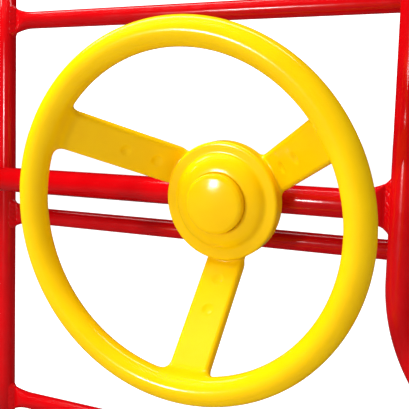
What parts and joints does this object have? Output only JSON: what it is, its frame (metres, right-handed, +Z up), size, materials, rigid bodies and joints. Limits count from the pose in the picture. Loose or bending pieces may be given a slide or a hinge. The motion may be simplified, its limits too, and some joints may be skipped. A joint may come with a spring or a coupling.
{
  "type": "playground steering wheel panel",
  "caption": "Deep-dished three-spoke play steering wheel that spins on a bolt through the cross bar of a welded ladder-style tube panel, with a bent post at one side.",
  "frame": {"origin": "on the plane of the upright feet, at the centre of the panel's footprint, below the wheel's axis", "axes": "+X to the right as the wheel's user sees it, +Y away from the user through the panel, +Z up along the uprights"},
  "size_m": [0.66, 0.1664, 0.494],
  "materials": {
    "yellow_plastic": "glossy blow-moulded polyethylene",
    "red_coat": "gloss powder coat over welded steel tube",
    "black_plastic": "fine-grained moulded plastic",
    "nylon": "natural nylon",
    "zinc_steel": "bright zinc plate"
  },
  "bodies": {
    "frame": {"cross_bar": "red_coat", "bent_post": "red_coat", "left_upright": "red_coat", "right_upright": "red_coat", "bottom_rung": "red_coat", "middle_rung": "red_coat", "top_rung": "red_coat", "left_upright_foot_cap": "black_plastic", "left_upright_top_cap": "black_plastic", "right_upright_foot_cap": "black_plastic", "right_upright_top_cap": "black_plastic", "cross_bar_cap": "black_plastic", "bent_post_top_cap": "black_plastic", "bent_post_end_cap": "black_plastic", "axle_bolt": "zinc_steel", "front_washer": "zinc_steel", "spacer_sleeve": "zinc_steel", "front_saddle": "black_plastic", "rear_saddle": "black_plastic", "rear_washer": "zinc_steel", "lock_nut": "zinc_steel", "nut_cover": "yellow_plastic"},
    "wheel": {"steering_wheel": "yellow_plastic", "hub_cap": "yellow_plastic", "front_bush": "nylon", "rear_bush": "nylon"}
  },
  "joints": [
    {"name": "wheel_spin", "type": "hinge", "parent": "frame", "child": "wheel", "pos_m": [0, -0.05849, 0.27624], "axis": [0, -0.9957, -0.0924], "continuous": true}
  ]
}
